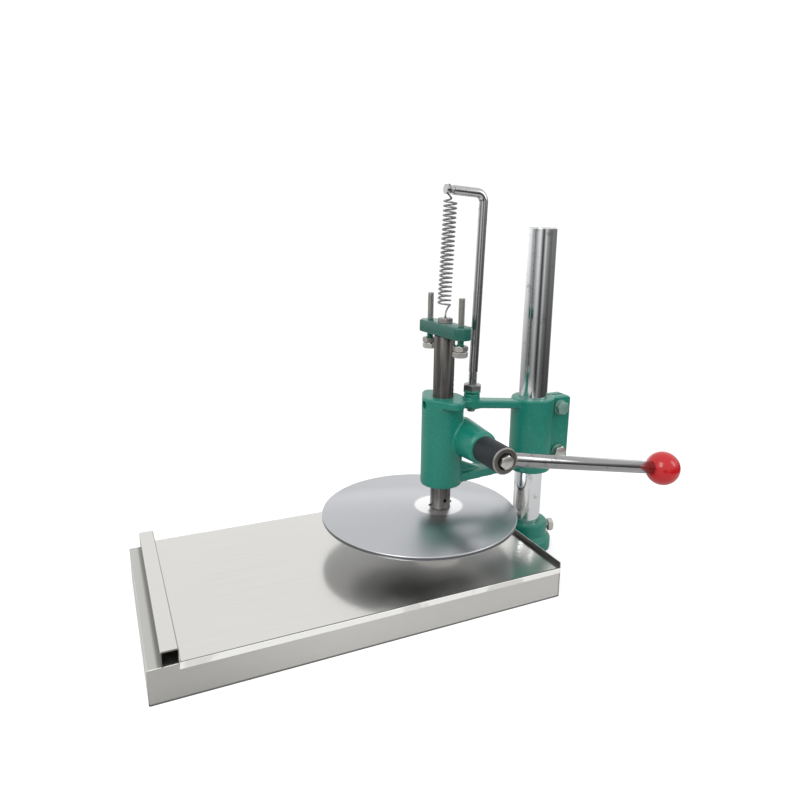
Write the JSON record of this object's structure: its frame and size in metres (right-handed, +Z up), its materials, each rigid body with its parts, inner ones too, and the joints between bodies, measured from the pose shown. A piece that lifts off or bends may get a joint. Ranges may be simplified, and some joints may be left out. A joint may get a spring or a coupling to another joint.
{
  "type": "pizza dough press",
  "caption": "Hand lever press for dough: a round steel plate on a racked ram, carried by a green cast head on a chrome column over a steel tray with a sliding sheet.",
  "frame": {"origin": "where the ram's axis meets the plane that the press stands on", "axes": "+Z up, +X along the tray towards the column, the lever is on the -Y side"},
  "size_m": [0.6536, 0.2556, 0.4687],
  "materials": {
    "green_paint": "cast iron with a hammered blue-green gloss paint",
    "chrome": "bright plated round bar",
    "sheet_steel": "folded stainless sheet, lightly brushed",
    "ground_steel": "turned steel plate",
    "dark_steel": "oiled dark steel",
    "zinc": "zinc plated",
    "spring_wire": "bright spring wire",
    "bronze": "plain bearing bronze",
    "black_oxide": "blackened steel",
    "red_ball": "gloss red phenolic"
  },
  "bodies": {
    "base": {"base_casting": "green_paint", "column": "chrome", "collar_set_bolt": "zinc", "base_tray": "sheet_steel", "tray_screw_near": "zinc", "tray_screw_far": "zinc", "tray_end_bolt_near": "zinc", "tray_end_bolt_far": "zinc", "tray_end_nut_near": "zinc", "tray_end_nut_far": "zinc"},
    "sheet": {"slide_sheet": "sheet_steel"},
    "head": {"head_casting": "green_paint", "ram_guide_screw": "dark_steel", "clamp_bolt_lower": "zinc", "clamp_bolt_upper": "zinc", "clamp_washer_lower_near": "zinc", "clamp_washer_lower_far": "zinc", "clamp_washer_upper_near": "zinc", "clamp_washer_upper_far": "zinc", "clamp_nut_lower": "zinc", "clamp_nut_upper": "zinc", "near_pinion_bush": "bronze", "far_pinion_bush": "bronze", "spring_rod": "chrome", "rod_lock_nut": "zinc", "return_spring": "spring_wire"},
    "ram": {"ram": "dark_steel", "press_disc": "ground_steel", "disc_pin": "dark_steel", "crosshead": "green_paint", "crosshead_bolt": "zinc", "stop_stud_near": "zinc", "stop_stud_far": "zinc", "stop_nut_near_lower": "zinc", "stop_nut_near_upper": "zinc", "stop_nut_far_lower": "zinc", "stop_nut_far_upper": "zinc"},
    "lever": {"pinion_shaft": "dark_steel", "hub_key": "dark_steel", "lever_hub": "black_oxide", "hub_bolt": "zinc", "lever_rod": "chrome", "lever_knob": "red_ball"}
  },
  "joints": [
    {"name": "head_height", "type": "slide", "parent": "base", "child": "head", "axis": [0, 0, 1], "range_m": [0, 0.21]},
    {"name": "sheet_slide", "type": "slide", "parent": "base", "child": "sheet", "axis": [-1, 0, 0], "range_m": [0, 0.22]},
    {"name": "ram_stroke", "type": "slide", "parent": "head", "child": "ram", "axis": [0, 0, -1], "range_m": [0, 0.0331], "stiffness_N_per_m": 1350, "springref_m": -0.07, "deforming": ["return_spring"]},
    {"name": "lever_swing", "type": "hinge", "parent": "head", "child": "lever", "pos_m": [0.024, 0, 0.1705], "axis": [0, -1, 0], "range_deg": [0, 146]}
  ],
  "couplings": [
    {"joint": "lever_swing", "follows": "ram_stroke", "rad_per_m": 76.923}
  ]
}
